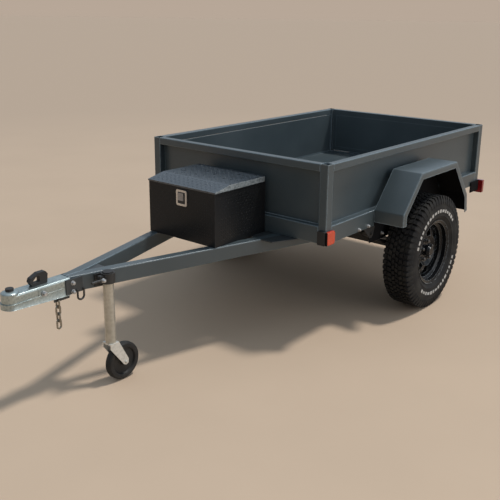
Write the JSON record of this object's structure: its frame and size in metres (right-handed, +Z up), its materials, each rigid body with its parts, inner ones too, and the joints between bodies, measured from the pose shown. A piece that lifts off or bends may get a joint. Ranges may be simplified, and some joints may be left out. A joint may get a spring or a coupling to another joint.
{
  "type": "utility trailer",
  "caption": "Single-axle box trailer with mudguards, leaf springs, A-frame drawbar, ball coupling, jockey stand, drop tailgate and a lidded tool box on the drawbar.",
  "frame": {"origin": "on the ground, below the middle of the overall length and width", "axes": "+X forward to the coupling, +Y to the trailer's left, +Z up"},
  "size_m": [3.332, 1.632, 0.958],
  "materials": {
    "body_paint": "slate-grey powder coat, slightly textured",
    "dark_plate": "dark powder-coated plate",
    "galvanised": "zinc plated, dull",
    "chain_steel": "zinc plated chain",
    "black_plastic": "black moulded",
    "solid_rubber": "solid black rubber",
    "black_steel": "black painted steel",
    "rim_black": "gloss black wheel paint",
    "tyre": "black tyre rubber",
    "toolbox_black": "black-coated aluminium tread plate",
    "latch_steel": "satin stainless",
    "amber_lens": "amber moulded lens",
    "red_lens": "red moulded lens"
  },
  "bodies": {
    "frame": {"drawbar_left": "body_paint", "drawbar_right": "body_paint", "coupling_bracket": "dark_plate", "coupling_body": "galvanised", "coupling_cap": "black_plastic", "coupling_handle": "black_plastic", "safety_chain": "chain_steel", "chain_loop": "black_steel", "jockey_clamp": "galvanised", "corner_posts": "body_paint", "chassis_rails_side": "body_paint", "chassis_rail_front": "body_paint", "chassis_rail_rear": "body_paint", "top_rails": "body_paint", "cross_members": "body_paint", "floor_sheet": "body_paint", "body_panels": "body_paint", "mudguard_left": "body_paint", "mudguard_right": "body_paint", "leaf_springs": "black_steel", "spring_hangers": "black_steel", "axle_beam": "black_steel", "axle_clamps": "galvanised", "toolbox_body": "toolbox_black", "toolbox_hinges": "galvanised", "toolbox_latch": "latch_steel", "marker_housings": "black_plastic", "marker_lenses": "amber_lens", "tail_housings": "black_plastic", "tail_lenses": "red_lens", "gate_hinges": "body_paint", "gate_studs": "galvanised"},
    "wheel_left": {"tyre_left": "tyre", "rim_left": "rim_black", "hub_left": "galvanised"},
    "wheel_right": {"tyre_right": "tyre", "rim_right": "rim_black", "hub_right": "galvanised"},
    "jockey_leg": {"jockey_tube": "galvanised", "jockey_cap": "black_plastic"},
    "jockey_castor": {"jockey_fork": "galvanised"},
    "jockey_roller": {"jockey_wheel": "solid_rubber"},
    "gate": {"tailgate": "body_paint"},
    "lid": {"toolbox_lid": "toolbox_black"}
  },
  "joints": [
    {"name": "wheel_left_spin", "type": "hinge", "parent": "frame", "child": "wheel_left", "pos_m": [-0.647, 0.727, 0.335], "axis": [0, 1, 0], "continuous": true},
    {"name": "wheel_right_spin", "type": "hinge", "parent": "frame", "child": "wheel_right", "pos_m": [-0.647, -0.727, 0.335], "axis": [0, 1, 0], "continuous": true},
    {"name": "jockey_height", "type": "slide", "parent": "frame", "child": "jockey_leg", "axis": [0, 0, 1], "range_m": [0, 0.24]},
    {"name": "jockey_swivel", "type": "hinge", "parent": "jockey_leg", "child": "jockey_castor", "pos_m": [1.195, 0.10377, 0.216], "axis": [0, 0, 1], "continuous": true},
    {"name": "jockey_roll", "type": "hinge", "parent": "jockey_castor", "child": "jockey_roller", "pos_m": [1.133, 0.10377, 0.091], "axis": [0, 1, 0], "continuous": true},
    {"name": "tailgate_drop", "type": "hinge", "parent": "frame", "child": "gate", "pos_m": [-1.6505, 0, 0.641], "axis": [0, -1, 0], "range_deg": [0, 180]},
    {"name": "toolbox_lid_lift", "type": "hinge", "parent": "frame", "child": "lid", "pos_m": [0.242, 0, 0.831], "axis": [0, -1, 0], "range_deg": [0, 75]}
  ]
}
